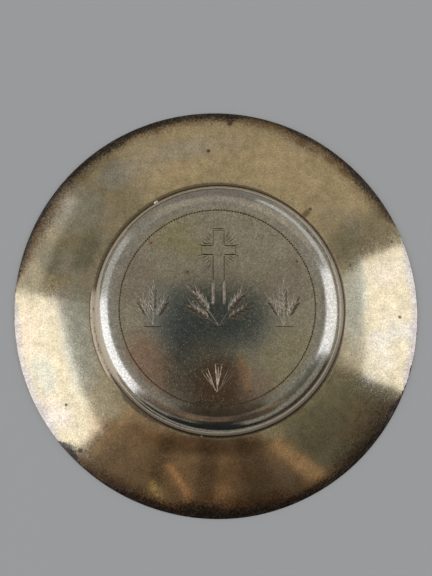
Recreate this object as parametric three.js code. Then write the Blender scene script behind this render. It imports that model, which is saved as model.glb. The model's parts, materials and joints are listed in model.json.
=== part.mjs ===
// A silver-gilt paten, lying face down on its rim so that its back shows.
// A round plate with a slightly domed rim carries a shallow well, which stands up from the back as a
// low boss with a flat disc and a rolled shoulder. The well is a dish of its own: its lip is let into
// a hole in the rim plate, filed flush with the face, and run round with silver solder.
// Millimetres, +Z up. The origin is on the axis, at the level of the surface that the rim rests on.

import * as THREE from 'three';

// Driving dimensions of the plate.
const plateDiameter = 150;
const sheet = 0.9; // thickness of the silver, the same all over
const rimSlopeAtSeam = THREE.MathUtils.degToRad(3.5); // the rim falls away from the boss at this slope
const rimCurl = THREE.MathUtils.degToRad(5); // and is this much steeper where it ends

// Driving dimensions of the well, as they are measured on its outside.
const bossRadius = 45.7; // at the seam, where the wall meets the back of the rim plate
const bossHeight = 5.4; // from the back of the rim plate up to the flat disc
const wallHeight = 0.4; // of the straight wall under the shoulder, which the solder covers
const wallLean = THREE.MathUtils.degToRad(27); // of that wall, away from upright
const mouthRound = 0.5; // rounding of the well's mouth on the face

// Driving dimensions of the joint and of the ring that is cut into the disc.
const solderGap = 0.15; // between the well's lip and the hole in the rim plate
const filletReach = 0.3; // how far the solder creeps out over the back of the plate
const filletHollow = 0.55; // 0 is a flat fillet, 1 one that keeps to the corner
const ringInset = 2.6; // from the edge of the flat disc in to the middle of the ring
const ringWidth = 0.5;
const ringDepth = 0.12;

// How finely the round forms are cut into facets.
const turnSteps = 72;
const rimSteps = 6;
const edgeSteps = 3; // from the back to the outermost line, and again down to the lowest
const shoulderSteps = 8;
const smallArcSteps = 3;

const gilt = new THREE.MeshStandardMaterial({ color: 0xb7a377, roughness: 0.28, metalness: 1 });
const wornGilt = new THREE.MeshStandardMaterial({ color: 0xa59b86, roughness: 0.3, metalness: 1 });
const solder = new THREE.MeshStandardMaterial({ color: 0x4a3c2c, roughness: 0.55, metalness: 1 });

// Points of an arc in a profile. Angles run anticlockwise from the radial direction.
function arc(centreRadius, centreHeight, radius, fromAngle, toAngle, steps) {
  const points = [];
  for (let i = 0; i <= steps; i += 1) {
    const angle = fromAngle + ((toAngle - fromAngle) * i) / steps;
    const r = centreRadius + radius * Math.cos(angle);
    const z = centreHeight + radius * Math.sin(angle);
    points.push(new THREE.Vector2(r, z));
  }
  return points;
}

// Turns a profile about the part's axis. A profile that leaves the axis has to close on itself.
function turned(name, profile, material) {
  const onAxis = profile[0].x === 0;
  const outline = onAxis ? profile : [...profile, profile[0]];
  const geometry = new THREE.LatheGeometry(outline, turnSteps);
  geometry.rotateX(Math.PI / 2);
  const mesh = new THREE.Mesh(geometry, material);
  mesh.name = name;
  return mesh;
}

const point = (r, z) => new THREE.Vector2(r, z);

// The rim's middle surface is one arc, so its back and its face are arcs about the same centre.
const quarterTurn = Math.PI / 2;
const edgeRound = sheet / 2;
const edgeCentreRadius = plateDiameter / 2 - edgeRound;
const rimSlopeAtEdge = rimSlopeAtSeam + rimCurl;
const rimRun = Math.sin(rimSlopeAtEdge) - Math.sin(rimSlopeAtSeam);
const rimArcRadius = (edgeCentreRadius - bossRadius) / rimRun;
const rimArcCentre = point(
  bossRadius - rimArcRadius * Math.sin(rimSlopeAtSeam),
  edgeRound - rimArcRadius * Math.cos(rimSlopeAtEdge),
);

// Height of the rim's back (side = 1) or face (side = -1) at some distance from the axis.
function rimHeight(r, side) {
  const radius = rimArcRadius + (side * sheet) / 2;
  return rimArcCentre.y + Math.sqrt(radius ** 2 - (r - rimArcCentre.x) ** 2);
}

// Heights and radii that the plate, the well and the solder share.
const seamHeight = rimHeight(bossRadius, 1);
const lipHeight = rimHeight(bossRadius, -1);
const discHeight = seamHeight + bossHeight;
const floorHeight = discHeight - sheet;
const holeRadius = bossRadius + solderGap;
const filletRadius = holeRadius + filletReach;

// The rim plate: its back from the hole outwards, round the edge, and its face inwards again.
function rimPlate() {
  const profile = [point(holeRadius, rimHeight(holeRadius, -1)), point(holeRadius, rimHeight(holeRadius, 1))];
  for (let i = 0; i < rimSteps; i += 1) {
    const r = filletRadius + ((edgeCentreRadius - filletRadius) * i) / rimSteps;
    profile.push(point(r, rimHeight(r, 1)));
  }
  const backNormal = quarterTurn - rimSlopeAtEdge;
  const faceNormal = backNormal - Math.PI;
  const roundEdge = (from, to, steps) => arc(edgeCentreRadius, edgeRound, edgeRound, from, to, steps);
  profile.push(...roundEdge(backNormal, 0, edgeSteps));
  profile.push(...roundEdge(0, -quarterTurn, edgeSteps).slice(1));
  profile.push(...roundEdge(-quarterTurn, faceNormal, 1).slice(1));
  for (let i = 1; i < rimSteps; i += 1) {
    const r = edgeCentreRadius + ((holeRadius - edgeCentreRadius) * i) / rimSteps;
    profile.push(point(r, rimHeight(r, -1)));
  }
  return profile.reverse();
}

// The shoulder rolls from the top of the straight wall to the disc, and is tangent to both.
const shoulder = (bossHeight - wallHeight) / (1 - Math.sin(wallLean));
const wallTop = point(bossRadius - wallHeight * Math.tan(wallLean), seamHeight + wallHeight);
const discRadius = wallTop.x - shoulder * Math.cos(wallLean);
const shoulderHeight = discHeight - shoulder;
const ringRadius = discRadius - ringInset;

// The well dish: over the outside from the axis to the lip, and back over the inside.
function wellDish() {
  const round = Math.min(mouthRound, 0.6 * sheet);
  const lipInner = bossRadius - sheet;
  const foot = lipHeight + round;
  return [
    point(0, discHeight),
    point(ringRadius - ringWidth / 2, discHeight),
    point(ringRadius, discHeight - ringDepth),
    point(ringRadius + ringWidth / 2, discHeight),
    ...arc(discRadius, shoulderHeight, shoulder, quarterTurn, wallLean, shoulderSteps).slice(0, -1),
    wallTop,
    point(bossRadius, seamHeight),
    point(bossRadius, lipHeight),
    ...arc(lipInner + round, foot, round, -quarterTurn, -Math.PI, smallArcSteps),
    point(lipInner, seamHeight - sheet * Math.tan(wallLean / 2)),
    ...arc(discRadius, shoulderHeight, shoulder - sheet, wallLean, quarterTurn, shoulderSteps),
    point(0, floorHeight),
  ].reverse();
}

// The solder fills the gap round the lip and creeps out into the corner in a hollow fillet.
function solderSeam() {
  const plateEnd = point(filletRadius, rimHeight(filletRadius, 1));
  const corner = point(bossRadius, seamHeight);
  const middle = wallTop.clone().lerp(plateEnd, 0.5).lerp(corner, filletHollow);
  const fillet = new THREE.QuadraticBezierCurve(wallTop, middle, plateEnd);
  return [
    point(bossRadius, lipHeight),
    corner,
    ...fillet.getPoints(smallArcSteps),
    point(holeRadius, rimHeight(holeRadius, 1)),
    point(holeRadius, rimHeight(holeRadius, -1)),
  ].reverse();
}

const paten = new THREE.Group();
paten.add(turned('rim_plate', rimPlate(), gilt));
paten.add(turned('well_dish', wellDish(), wornGilt));
paten.add(turned('solder_seam', solderSeam(), solder));

export default paten;
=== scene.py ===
# %% [markdown]
# # A silver-gilt paten, lying face down
# A paten is the small plate that holds the bread at a service. This one is silver with a thin coat of
# gold, and it lies on its face, so we see the back: a gently sloping rim round a low boss, which is the
# outside of the well.
#
# Every piece is turned round one axis. It could be modelled with a curve and the Screw modifier, or with
# rings that are extruded and scaled. Here each section line is drawn once and spun, because that is how a
# silversmith makes the piece: one profile, held against metal that goes round.

# %% Load the fixed frame
import json
import math
import random

import bpy
from mathutils import Matrix, Vector
from mathutils.geometry import intersect_line_line_2d, intersect_point_line


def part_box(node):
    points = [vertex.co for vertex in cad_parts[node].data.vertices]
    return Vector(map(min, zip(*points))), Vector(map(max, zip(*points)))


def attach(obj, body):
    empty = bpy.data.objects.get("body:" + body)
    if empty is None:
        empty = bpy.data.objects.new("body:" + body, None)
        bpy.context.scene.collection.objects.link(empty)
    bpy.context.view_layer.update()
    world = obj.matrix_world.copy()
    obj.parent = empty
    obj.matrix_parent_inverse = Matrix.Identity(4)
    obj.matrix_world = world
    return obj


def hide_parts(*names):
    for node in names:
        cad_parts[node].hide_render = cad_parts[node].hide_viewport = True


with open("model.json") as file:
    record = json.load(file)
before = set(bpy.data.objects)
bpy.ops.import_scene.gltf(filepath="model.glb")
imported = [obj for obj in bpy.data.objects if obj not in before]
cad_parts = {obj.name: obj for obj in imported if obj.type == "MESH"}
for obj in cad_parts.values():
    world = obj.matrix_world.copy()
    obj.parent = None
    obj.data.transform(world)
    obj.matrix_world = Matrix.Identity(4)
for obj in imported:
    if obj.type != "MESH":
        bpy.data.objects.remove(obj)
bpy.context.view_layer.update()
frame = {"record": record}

MM = 0.001

# %% [markdown]
# ## Helpers
# A few things come back in every step: adding a shape under a name, picking one piece, finding a place
# round the axis, and adding a shader node with its inputs.

# %% Helpers


def new_piece(name, add, **settings):
    """Adds a shape with one of Blender's mesh operators and names it."""
    bpy.ops.object.select_all(action="DESELECT")
    add(**settings)
    piece = bpy.context.object
    piece.name = name
    return piece


def pick(piece):
    """Makes a piece the only selected one, and the active one."""
    bpy.ops.object.select_all(action="DESELECT")
    piece.select_set(True)
    bpy.context.view_layer.objects.active = piece


def polar(azimuth, r=1.0):
    """The x and y at some degrees round the axis, anticlockwise from +X, and some distance from it."""
    a = math.radians(azimuth)
    return r * math.cos(a), r * math.sin(a)


def feed(tree, socket, value):
    """Links an output to a socket, or sets the socket to a value."""
    if isinstance(value, bpy.types.NodeSocket):
        tree.links.new(value, socket)
    else:
        socket.default_value = value


def add_node(tree, kind, inputs, output=0, **settings):
    """Adds a shader node, links or sets its inputs, and gives back one output."""
    node = tree.nodes.new("ShaderNode" + kind)
    for name, value in settings.items():
        setattr(node, name, value)
    for name, value in inputs.items():
        feed(tree, node.inputs[name], value)
    return node.outputs[output]


def plain_material(name, colour, roughness=1.0):
    """One colour and one roughness, for things that aren't part of the object."""
    material = bpy.data.materials.new(name)
    material.use_nodes = True
    surface = material.node_tree.nodes["Principled BSDF"]
    surface.inputs["Base Color"].default_value = colour
    surface.inputs["Roughness"].default_value = roughness
    return material


# %% [markdown]
# ## Camera
# The photograph was taken from almost straight above, about 16 cm over the table. The camera is
# therefore close: the boss looks a little larger than it is, and the rim falls away from us. It could be
# placed by eye with a long lens, but then the rings would sit in the wrong places, so height, lean and
# lens are the ones that make all three circles of the object fall where the photograph has them.

# %% Camera
CAMERA_PLACE = Vector((-2.94, -7.84, 161.32)) * MM
CAMERA_LEAN = math.radians(5.36)  # towards the head of the cross
CAMERA_TWIST = math.radians(-0.89)  # towards the right
CAMERA_LENS = 27.06  # on the usual 36 mm sensor

camera = bpy.data.objects.new("camera", bpy.data.cameras.new("camera"))
bpy.context.scene.collection.objects.link(camera)
lean = Matrix.Rotation(CAMERA_LEAN, 4, "X")
twist = Matrix.Rotation(CAMERA_TWIST, 4, "Y")
camera.matrix_world = Matrix.Translation(CAMERA_PLACE) @ twist @ lean
camera.data.lens = CAMERA_LENS
camera.data.clip_start = 0.005
bpy.context.scene.camera = camera
print("camera at", tuple(camera.location), "lens", camera.data.lens)

# %% [markdown]
# ## Floor and light
# Polished metal shows its surroundings more than its own colour. The photograph shows two big soft
# panels, left and right, a weaker and warmer light from behind, and little light from the front. An
# environment picture could hold all that, but we keep to plain lamps: large area lights far away, each set
# by the brightness that its surface should show in the metal. Cloth cards keep light away: some stand in
# front, and some hang just above the camera, where the flat disc mirrors them.

# %% Floor
FLOOR_COLOUR = (0.337, 0.342, 0.346, 1)
FLOOR_SIZE = 8.0

floor = new_piece("floor", bpy.ops.mesh.primitive_plane_add, size=FLOOR_SIZE)
floor.data.materials.append(plain_material("pale_table", FLOOR_COLOUR, 0.9))
print("floor", tuple(floor.dimensions))

# %% Lamps
WALL_DISTANCE = 1.2
DAYLIGHT = (0.93, 1.0, 1.22)
WARM = (1.0, 0.86, 0.68)


def area_lamp(name, width, height, brightness, colour, place):
    """A rectangular lamp that the camera doesn't see. Its surface shows the brightness in the metal."""
    data = bpy.data.lights.new(name, "AREA")
    data.shape = "RECTANGLE"
    data.size = width
    data.size_y = height
    data.energy = brightness * math.pi * width * height
    data.color = colour
    lamp = bpy.data.objects.new(name, data)
    bpy.context.scene.collection.objects.link(lamp)
    lamp.location = place
    lamp.visible_camera = False
    print(name, "is", round(width, 2), "by", round(height, 2), "m,", round(data.energy, 1), "W")
    return lamp


def standing_panel(name, azimuth, half_width, top, bottom, brightness, colour=DAYLIGHT):
    """A soft panel that stands upright beside the table, like the wall of a light tent.
    It reaches half_width degrees to each side, and from top to bottom in degrees from straight up."""
    width = 2 * WALL_DISTANCE * math.tan(math.radians(half_width))
    top_height = WALL_DISTANCE / math.tan(math.radians(top))
    bottom_height = WALL_DISTANCE / math.tan(math.radians(bottom))
    away = Vector((*polar(azimuth), 0))
    place = away * WALL_DISTANCE
    place.z = (top_height + bottom_height) / 2
    panel = area_lamp(name, width, top_height - bottom_height, brightness, colour, place)
    panel.rotation_euler = away.to_track_quat("Z", "Y").to_euler()


for row in (
    ("left_panel", 198.2, 26.2, 27.2, 76, 1.34),
    ("right_panel", 1, 21, 30.5, 76, 1.28),
    ("left_upper_glow", 198.2, 26.2, 22, 28, 0.2),
    ("left_top_glow", 198.2, 26.2, 14, 22, 0.08),
    ("right_upper_glow", 1, 19, 24, 30.5, 0.42),
    ("left_back_panel", 155, 17, 36, 76, 0.3),
    ("right_back_strip", 46, 24, 58, 76, 0.4),
    ("back_panel", 78, 42, 20, 50, 0.15, WARM),
):
    standing_panel(*row)

# %% Fill light
FILL_HEIGHT = 3.0
FILL_SIZE = 1.5
FILL_LEVEL = 0.37  # of what the floor gets
FILL_COLOUR = (1.03, 1.0, 0.9)

fill_brightness = FILL_LEVEL * math.pi * (FILL_HEIGHT / FILL_SIZE) ** 2
fill = area_lamp("fill", FILL_SIZE, FILL_SIZE, fill_brightness, FILL_COLOUR, (0, 0, FILL_HEIGHT))
fill.visible_glossy = False  # it lights the cloth, and the metal doesn't mirror it

# %% Surroundings
SURROUNDINGS = (0.312, 0.30, 0.282, 1)

world = bpy.data.worlds.new("studio")
bpy.context.scene.world = world
world.use_nodes = True
world.node_tree.nodes["Background"].inputs["Color"].default_value = SURROUNDINGS
bpy.context.scene.view_settings.view_transform = "Standard"
print("surroundings", SURROUNDINGS[:3])

# %% Cards in front


def cloth_card(name, width, height, place, cloth):
    """A card that keeps light away. It is no part of the object, and no camera sees it."""
    card = new_piece(name, bpy.ops.mesh.primitive_plane_add, size=1, location=place)
    card.scale = (width, height, 1)
    card.data.materials.append(cloth)
    card.visible_camera = False
    card.visible_diffuse = False  # the floor behind it stays evenly lit
    print(name, round(width / MM), "by", round(height / MM), "mm")
    return card


def standing_card(name, azimuth, distance, width, bottom, top, colour, lean=0):
    """An upright card. Its top leans to the left by some degrees, for a fold that hangs aslant."""
    away = Vector((*polar(azimuth), 0))
    place = away * distance
    place.z = (top + bottom) / 2
    card = cloth_card(name, width, top - bottom, place, plain_material(name + "_cloth", colour))
    leaning = Matrix.Rotation(math.radians(lean), 3, away) @ away.to_track_quat("Z", "Y").to_matrix()
    card.rotation_euler = leaning.to_euler()


BROWN = (0.175, 0.13, 0.105, 1)
DARK_BROWN = (0.08, 0.058, 0.045, 1)
ORANGE_BROWN = (0.68, 0.42, 0.28, 1)
DULL_ORANGE = (0.46, 0.315, 0.205, 1)
MIDDLE_BROWN = (0.33, 0.21, 0.14, 1)
YELLOW_BROWN = (0.90, 0.75, 0.42, 1)
PEACH = (0.42, 0.33, 0.25, 1)
GREY = (0.15, 0.155, 0.14, 1)
BLACK = (0.02, 0.024, 0.028, 1)
for row in (
    ("brown_card", -97.5, 1.1, 1.81, 0.78, 2.8, BROWN),
    ("peach_strip", -132, 1.07, 0.05, 0.78, 2.8, PEACH),
    ("dark_fold", -92, 1.07, 0.13, 0.78, 2.8, DARK_BROWN),
    ("dark_fold_right", -74, 1.07, 0.2, 0.78, 2.8, DARK_BROWN),
    ("dark_fold_left", -110, 1.07, 0.08, 0.78, 2.8, DARK_BROWN),
    ("orange_strip", -57.7, 1.06, 0.1, 0.9, 2.15, DULL_ORANGE, 10),
    ("orange_strip_left", -99.5, 1.06, 0.05, 1.1, 1.9, ORANGE_BROWN, 20),
    ("middle_strip", -87, 1.06, 0.1, 1.0, 1.65, MIDDLE_BROWN),
    ("yellow_strip", -105.5, 1.05, 0.03, 0.95, 1.5, YELLOW_BROWN, 20),
    ("grey_card", -39, 1.05, 0.72, 0.78, 2.8, GREY),
    ("black_card", -90, 1.0, 0.36, 0.2, 1.1, BLACK),
    ("wide_black_card", -95, 0.99, 0.7, 0.12, 0.6, BLACK),
    ("low_black_card", -97, 0.98, 1.3, 0.02, 0.34, BLACK),
    ("low_brown_card", -45, 0.98, 0.8, 0.02, 0.32, DARK_BROWN),
):
    standing_card(*row)

# %% Cards above the camera
CLOUD_SCALE = 3.0
CLOUD_SHARE = 0.2
FADE_START = 0.21  # where the cloth starts to thin out, in squares of the card's width
FADE_END = 0.29


def cloudy_material(name, colour):
    """A cloth that fades out raggedly towards the edge of its card."""
    material = plain_material(name, colour)
    tree = material.node_tree
    where = tree.nodes.new("ShaderNodeTexCoord").outputs["Object"]
    cloud = add_node(tree, "TexNoise", {"Vector": where, "Scale": CLOUD_SCALE})
    squares = add_node(tree, "VectorMath", {0: where, 1: where}, operation="MULTIPLY")
    # The length of the squares turns an oval into a rounded rectangle.
    away = add_node(tree, "VectorMath", {0: squares}, "Value", operation="LENGTH")
    pushed = add_node(tree, "Math", {0: cloud, 1: CLOUD_SHARE, 2: away}, operation="MULTIPLY_ADD")
    opaque = add_node(tree, "MapRange", {"Value": pushed, "From Min": FADE_END, "From Max": FADE_START})
    tree.links.new(opaque, tree.nodes["Principled BSDF"].inputs["Alpha"])
    return material


def hanging_card(name, x, y, above, width, depth, colour):
    """A level card just above the camera, for the duller patches that the flat disc mirrors."""
    place = (x * MM, y * MM, CAMERA_PLACE.z + above * MM)
    card = cloth_card(name, width * MM, depth * MM, place, cloudy_material(name + "_cloth", colour))
    card.visible_shadow = False


BLUE_GREY = (0.155, 0.2, 0.205, 1)
DARK_BLUE_GREY = (0.13, 0.165, 0.165, 1)
hanging_card("blue_grey_card", 2, 3, 4, 96, 58, BLUE_GREY)
hanging_card("blue_grey_card_left", -24.5, -31, 5, 26, 58, DARK_BLUE_GREY)
hanging_card("warm_card", 2, -44, 6, 50, 54, (0.21, 0.15, 0.095, 1))
hanging_card("warm_card_low", 6, -76, 7, 100, 54, (0.14, 0.10, 0.07, 1))

# %% [markdown]
# ## Sizes
# Nothing is measured twice. Radii and heights that the frame holds come from its boxes and from its
# mounts, and only the angles of the section, which no box can give, are written here.

# %% Sizes from the frame
plate_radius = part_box("rim_plate")[1].x
lip_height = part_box("well_dish")[0].z
disc_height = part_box("well_dish")[1].z
boss_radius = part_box("well_dish")[1].x
fillet_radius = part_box("solder_seam")[1].x
wall_top_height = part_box("solder_seam")[1].z
mount_height = {mount["name"]: mount["pos_m"][2] for mount in frame["record"]["mounts"]}
sheet = mount_height["boss_flat"] - mount_height["well_floor"]

RIM_SLOPE_AT_SEAM = math.radians(3.5)
RIM_CURL = math.radians(5)
WALL_LEAN = math.radians(27)
SOLDER_GAP = 0.15 * MM
TURN_STEPS = 256
print("plate", plate_radius, "boss", boss_radius, "disc", disc_height, "sheet", round(sheet, 6))

# %% The rim's arc
edge_round = sheet / 2
edge_centre_radius = plate_radius - edge_round
rim_slope_at_edge = RIM_SLOPE_AT_SEAM + RIM_CURL
rim_run = math.sin(rim_slope_at_edge) - math.sin(RIM_SLOPE_AT_SEAM)
rim_arc_radius = (edge_centre_radius - boss_radius) / rim_run
rim_arc_centre_r = boss_radius - rim_arc_radius * math.sin(RIM_SLOPE_AT_SEAM)
rim_arc_centre_z = edge_round - rim_arc_radius * math.cos(rim_slope_at_edge)


def rim_height(r, side):
    """Height of the rim's back, side 1, or of its face, side -1, at a distance from the axis."""
    radius = rim_arc_radius + side * sheet / 2
    return rim_arc_centre_z + math.sqrt(radius**2 - (r - rim_arc_centre_r) ** 2)


hole_radius = boss_radius + SOLDER_GAP
seam_height = rim_height(boss_radius, 1)
wall_height = wall_top_height - seam_height
shoulder = (disc_height - wall_top_height) / (1 - math.sin(WALL_LEAN))
wall_top_radius = boss_radius - wall_height * math.tan(WALL_LEAN)
disc_radius = wall_top_radius - shoulder * math.cos(WALL_LEAN)
print("rim arc", round(rim_arc_radius, 4), "seam", round(seam_height, 5), "shoulder", round(shoulder, 5))
print("disc radius", round(disc_radius, 5))

# %% [markdown]
# ## Turning a piece
# A section line is drawn from one vertex, extruded from point to point, and spun round the axis. The two
# ends of the spin lie on each other, so doubles are merged before the normals are made consistent.

# %% Drawing and spinning a section


def start_editing(action="SELECT", kind="VERT"):
    """Enters edit mode for vertices or edges, with all of them selected or none."""
    bpy.ops.object.mode_set(mode="EDIT")
    bpy.ops.mesh.select_mode(type=kind)
    bpy.ops.mesh.select_all(action=action)


def stop_editing():
    bpy.ops.object.mode_set(mode="OBJECT")


def point(r, z):
    return Vector((r, 0, z))


def arc(centre_r, centre_z, radius, from_angle, to_angle, steps):
    """Points of an arc in the section. Angles run anticlockwise from the outward direction."""
    points = []
    for i in range(steps + 1):
        angle = from_angle + (to_angle - from_angle) * i / steps
        points.append(point(centre_r + radius * math.cos(angle), centre_z + radius * math.sin(angle)))
    return points


def draw_section(name, points):
    """Merges a small plane to one vertex and extrudes that from point to point."""
    piece = new_piece(name, bpy.ops.mesh.primitive_plane_add, size=MM)
    start_editing()
    bpy.ops.mesh.merge(type="CENTER")
    bpy.ops.transform.translate(value=points[0])
    for here, there in zip(points, points[1:]):
        bpy.ops.mesh.extrude_region_move(TRANSFORM_OT_translate={"value": there - here})
    stop_editing()
    return piece


def spin_section(piece, steps=TURN_STEPS):
    """Turns the drawn section round the part's axis into one closed band."""
    start_editing()
    bpy.ops.mesh.spin(steps=steps, angle=2 * math.pi, center=(0, 0, 0), axis=(0, 0, 1))
    bpy.ops.mesh.select_all(action="SELECT")
    bpy.ops.mesh.remove_doubles(threshold=0.002 * MM)
    bpy.ops.mesh.normals_make_consistent(inside=False)
    stop_editing()
    print(piece.name, "spun:", len(piece.data.vertices), "vertices")


def apply_modifier(piece, kind, **settings):
    """Adds a modifier, gives it its settings and applies it."""
    modifier = piece.modifiers.new(kind.lower(), kind)
    for name, value in settings.items():
        setattr(modifier, name, value)
    bpy.context.view_layer.objects.active = piece
    bpy.ops.object.modifier_apply(modifier=modifier.name)


def turned_sheet(name, points):
    """Spins the line of a sheet's outside, which has to look up, and gives the sheet its thickness."""
    piece = draw_section(name, points)
    spin_section(piece)
    if piece.data.polygons[0].normal.z < 0:
        start_editing()
        bpy.ops.mesh.flip_normals()
        stop_editing()
    apply_modifier(piece, "SOLIDIFY", thickness=sheet, offset=-1, use_even_offset=True)
    return piece


def round_edges(piece, test, radius, steps):
    """Rounds the edges that pass a test, which is given the places of both ends."""
    start_editing("DESELECT", "EDGE")
    stop_editing()
    corners = piece.data.vertices
    for edge in piece.data.edges:
        edge.select = test(*(corners[i].co for i in edge.vertices))
    print(piece.name, "has", sum(edge.select for edge in piece.data.edges), "edges to round")
    bpy.ops.object.mode_set(mode="EDIT")
    bpy.ops.mesh.bevel(offset=radius, segments=steps, profile=0.5)
    stop_editing()
    print(piece.name, "has", len(piece.data.polygons), "faces")


def push_by_cloud(piece, name, size, detail, group, **settings):
    """Moves the vertices of a group by a cloud of some size."""
    cloud = bpy.data.textures.new(name, "CLOUDS")
    cloud.noise_scale = size
    cloud.noise_depth = detail
    settings.update(texture=cloud, texture_coords="LOCAL", vertex_group=group.name)
    apply_modifier(piece, "DISPLACE", **settings)


# %% [markdown]
# ## Rim plate
# The rim is one sheet with a large hole. Its back falls away from the boss, and a little more steeply
# towards the edge. The line of its back is spun, the sheet gets its thickness from Solidify, and the two
# corners of the edge are bevelled until they meet in a full round, as a file leaves them.

# %% Rim plate
RIM_STEPS = 48
EDGE_BEVEL_STEPS = 5
EDGE_BEVEL_SHARE = 0.98  # of the full round, so that the two bevels don't run into each other
BAND_SHARE = 0.8  # of the edge's round. Only the band's own points lie nearer to the outline

out = Vector((math.sin(rim_slope_at_edge), 0, math.cos(rim_slope_at_edge))) * edge_round
along = Vector((math.cos(rim_slope_at_edge), 0, -math.sin(rim_slope_at_edge))) * edge_round
back_line = []
for i in range(RIM_STEPS + 1):
    r = hole_radius + (edge_centre_radius + out.x - hole_radius) * i / RIM_STEPS
    back_line.append(point(r, rim_height(r, 1)))
back_line.append(point(edge_centre_radius, edge_round) + out + along)
rim_plate = turned_sheet("rim_plate_sheet", back_line)
outer_line = plate_radius - edge_round * BAND_SHARE


def on_edge(a, b):
    """Whether a line of the mesh lies on the narrow band round the plate."""
    return min(a.xy.length, b.xy.length) > outer_line


round_edges(rim_plate, on_edge, edge_round * EDGE_BEVEL_SHARE, EDGE_BEVEL_STEPS)

# %% [markdown]
# ## A hand-made rim
# No old plate is quite true. The photograph's outline is an oval by a third of a millimetre, and its
# reflections wander a little. The outer vertices are pushed by a soft cloud, which dies out towards the
# joint so that the pieces still fit.

# %% A hand-made rim
WAVE_HEIGHT = 0.3 * MM
WAVE_SIZE = 32 * MM
OVAL = 0.33 * MM
OVAL_TURN = math.radians(120)

outer_rim = rim_plate.vertex_groups.new(name="outer_rim")
for corner_point in rim_plate.data.vertices:
    place = corner_point.co
    share = max(0.0, (place.xy.length - fillet_radius) / (plate_radius - fillet_radius))
    outer_rim.add([corner_point.index], share**1.5, "REPLACE")
    turn = math.atan2(place.y, place.x) - OVAL_TURN
    grown = 1 + share**2 * OVAL / plate_radius * math.cos(2 * turn)
    corner_point.co = (place.x * grown, place.y * grown, place.z)
waving = {"direction": "Z", "mid_level": 0.0, "strength": WAVE_HEIGHT}
push_by_cloud(rim_plate, "rim_waves", WAVE_SIZE, 0, outer_rim, **waving)
lowest = min(corner_point.co.z for corner_point in rim_plate.data.vertices)
print("the waved rim's lowest point is", round(lowest / MM, 3), "mm up")

# %% [markdown]
# ## Well dish
# The well is a dish of its own, and its outside is the boss: a flat disc, a rolled shoulder and a short
# leaning wall, whose lip is let into the rim plate. The section runs from the axis to the lip.

# %% Well dish
SHOULDER_STEPS = 24
DISC_STEPS = 12
MOUTH_ROUND = 0.5 * MM
MOUTH_STEPS = 4
NEAR = 0.05 * MM

outside = [point(disc_radius * i / DISC_STEPS, disc_height) for i in range(DISC_STEPS)]
outside += arc(disc_radius, disc_height - shoulder, shoulder, math.pi / 2, WALL_LEAN, SHOULDER_STEPS)
outside += [point(boss_radius, seam_height), point(boss_radius, lip_height)]
well_dish = turned_sheet("well_dish_sheet", outside)
mouth_radius = boss_radius - sheet


def on_mouth(*ends):
    """Whether a line of the mesh runs round the well's mouth."""
    return all(end.z < lip_height + NEAR and abs(end.xy.length - mouth_radius) < NEAR for end in ends)


round_edges(well_dish, on_mouth, MOUTH_ROUND, MOUTH_STEPS)

# %% [markdown]
# ## Engraving
# Three kinds of tool have marked the disc. A scriber drew a circle, a round punch was tapped along it, and
# a burin cut the lines. A line that a burin cuts is a shallow V that tapers at both ends. Its sides throw
# the light of the side panels at us, which is why upright lines shine and level ones look dark. Bump could
# fake that from one side only, so each mark is a small solid that a Boolean takes out of the sheet. The
# manifold solver does that cleanly as long as no two solids of one cutter touch, so the cuts are sorted
# into sets.

# %% Tool shapes
BRIGHT_CUT = math.radians(24)  # the sides of a flat cut, which throw the panels' light up
STEEP_CUT = math.radians(42)  # the sides of a deep cut, which hold grime and look dark
BLUNT_END = 0.86  # how far along its half length a burin's line keeps its full width


def unit_tool(name, segments, rings):
    """A small ball of unit radius to shape a tool from. It lies along X."""
    ball = bpy.ops.mesh.primitive_uv_sphere_add
    tool = new_piece(name, ball, segments=segments, ring_count=rings, radius=1)
    tool.data.transform(Matrix.Rotation(math.pi / 2, 4, "Y"))
    print(name, len(tool.data.polygons), "faces")
    return tool


burin_line = unit_tool("burin_line", 4, 3)
for corner_point in burin_line.data.vertices:
    if 0.1 < abs(corner_point.co.x) < 0.9:
        corner_point.co = (math.copysign(BLUNT_END, corner_point.co.x), *corner_point.co.yz.normalized())
burin_leaf = unit_tool("burin_leaf", 4, 4)
punch = unit_tool("punch", 8, 6)

# %% Placing marks
TOOL_LIFT = 0.006 * MM  # a tool's widest line stays clear of the surface, which a Boolean needs
ROOM = 0.03  # in millimetres, between cuts of one set
cuts = []  # sets of cuts that don't touch each other


def mark(tool, x, y, length, width, depth, angle=0.0):
    """Copies a tool's shape to a place on the disc. Sizes are full sizes in millimetres."""
    copy = bpy.data.objects.new(tool.name + "_copy", tool.data.copy())
    bpy.context.scene.collection.objects.link(copy)
    size = Matrix.Diagonal((length / 2, width / 2, depth, 1 / MM)) * MM
    turn = Matrix.Rotation(angle, 4, "Z")
    copy.data.transform(Matrix.Translation((x * MM, y * MM, disc_height + TOOL_LIFT)) @ turn @ size)
    return copy


def distance_to(place, start, end):
    """From a point to the nearest one on a line between two points."""
    nearest, share = intersect_point_line(place, start, end)
    return (place - start.lerp(end, min(1.0, max(0.0, share)))).length


def touch(one, other):
    """Whether two cuts lie on or very near each other. A cut is its two ends and its width."""
    (a, b, width), (c, d, other_width) = one, other
    if intersect_line_line_2d(a, b, c, d):
        return True
    gap = min(distance_to(a, c, d), distance_to(b, c, d), distance_to(c, a, b), distance_to(d, a, b))
    return gap < (width + other_width) / 2 + ROOM


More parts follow.
